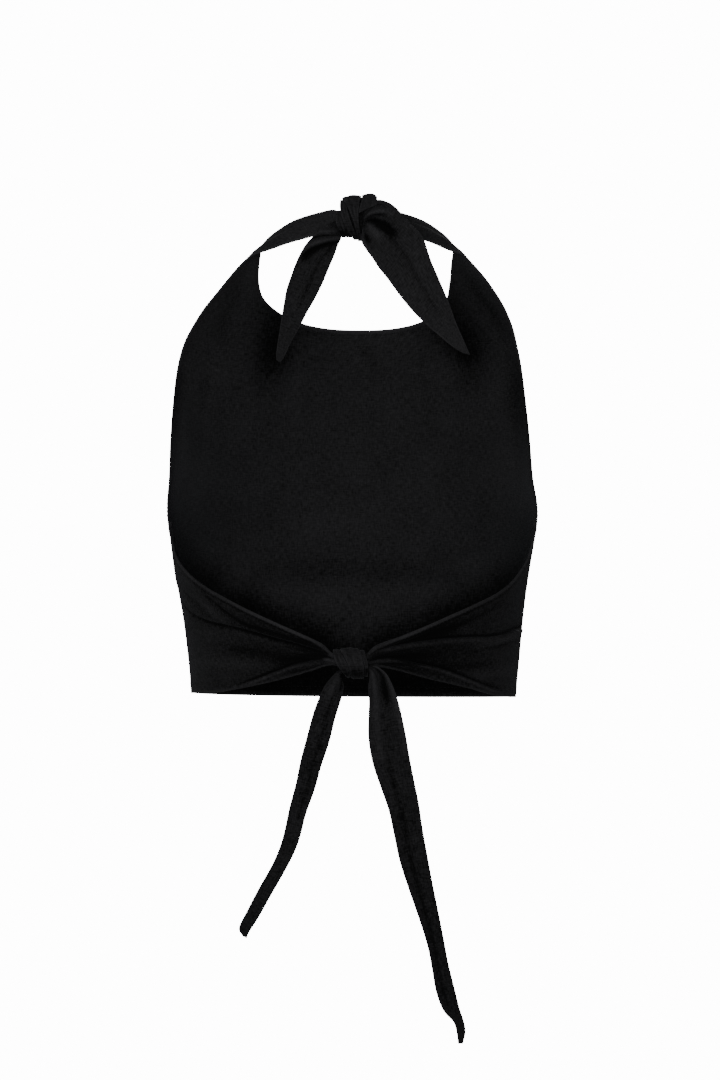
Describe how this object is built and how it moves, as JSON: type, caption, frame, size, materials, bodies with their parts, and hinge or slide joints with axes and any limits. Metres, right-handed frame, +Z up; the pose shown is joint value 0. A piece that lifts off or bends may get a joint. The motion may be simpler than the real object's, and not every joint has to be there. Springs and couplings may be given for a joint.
{
  "type": "halter neck top",
  "caption": "Cropped halter neck top in its worn, hollow form, with an open back, straps knotted at the nape and tapering wings tied at the waist, their ends hanging.",
  "frame": {"origin": "the point at the back of the neck where the straps rest on the nape, at the inner side of the neck knot", "axes": "+Z up, from the hem to the nape; +Y towards the wearer's front; +X to the wearer's right, so the open back faces -Y"},
  "size_m": [0.2861, 0.2301, 0.6502],
  "materials": {
    "body_cloth": "matte black cloth with a fine uneven weave and a faint sheen",
    "tie_cloth": "the same matte black cloth, folded and sewn into ties"
  },
  "bodies": {
    "root": {"front_panel": "body_cloth", "wing_left": "body_cloth", "wing_right": "body_cloth", "neck_tail_left": "tie_cloth", "neck_tail_right": "tie_cloth", "waist_tail_left": "tie_cloth", "waist_tail_right": "tie_cloth", "waist_knot_wrap": "tie_cloth", "waist_knot_cross": "tie_cloth", "waist_knot_edge": "tie_cloth", "waist_knot_core": "tie_cloth", "neck_knot_collar": "tie_cloth", "neck_knot_turn_a": "tie_cloth", "neck_knot_turn_b": "tie_cloth", "neck_knot_cap": "tie_cloth", "neck_knot_core": "tie_cloth"}
  },
  "joints": []
}
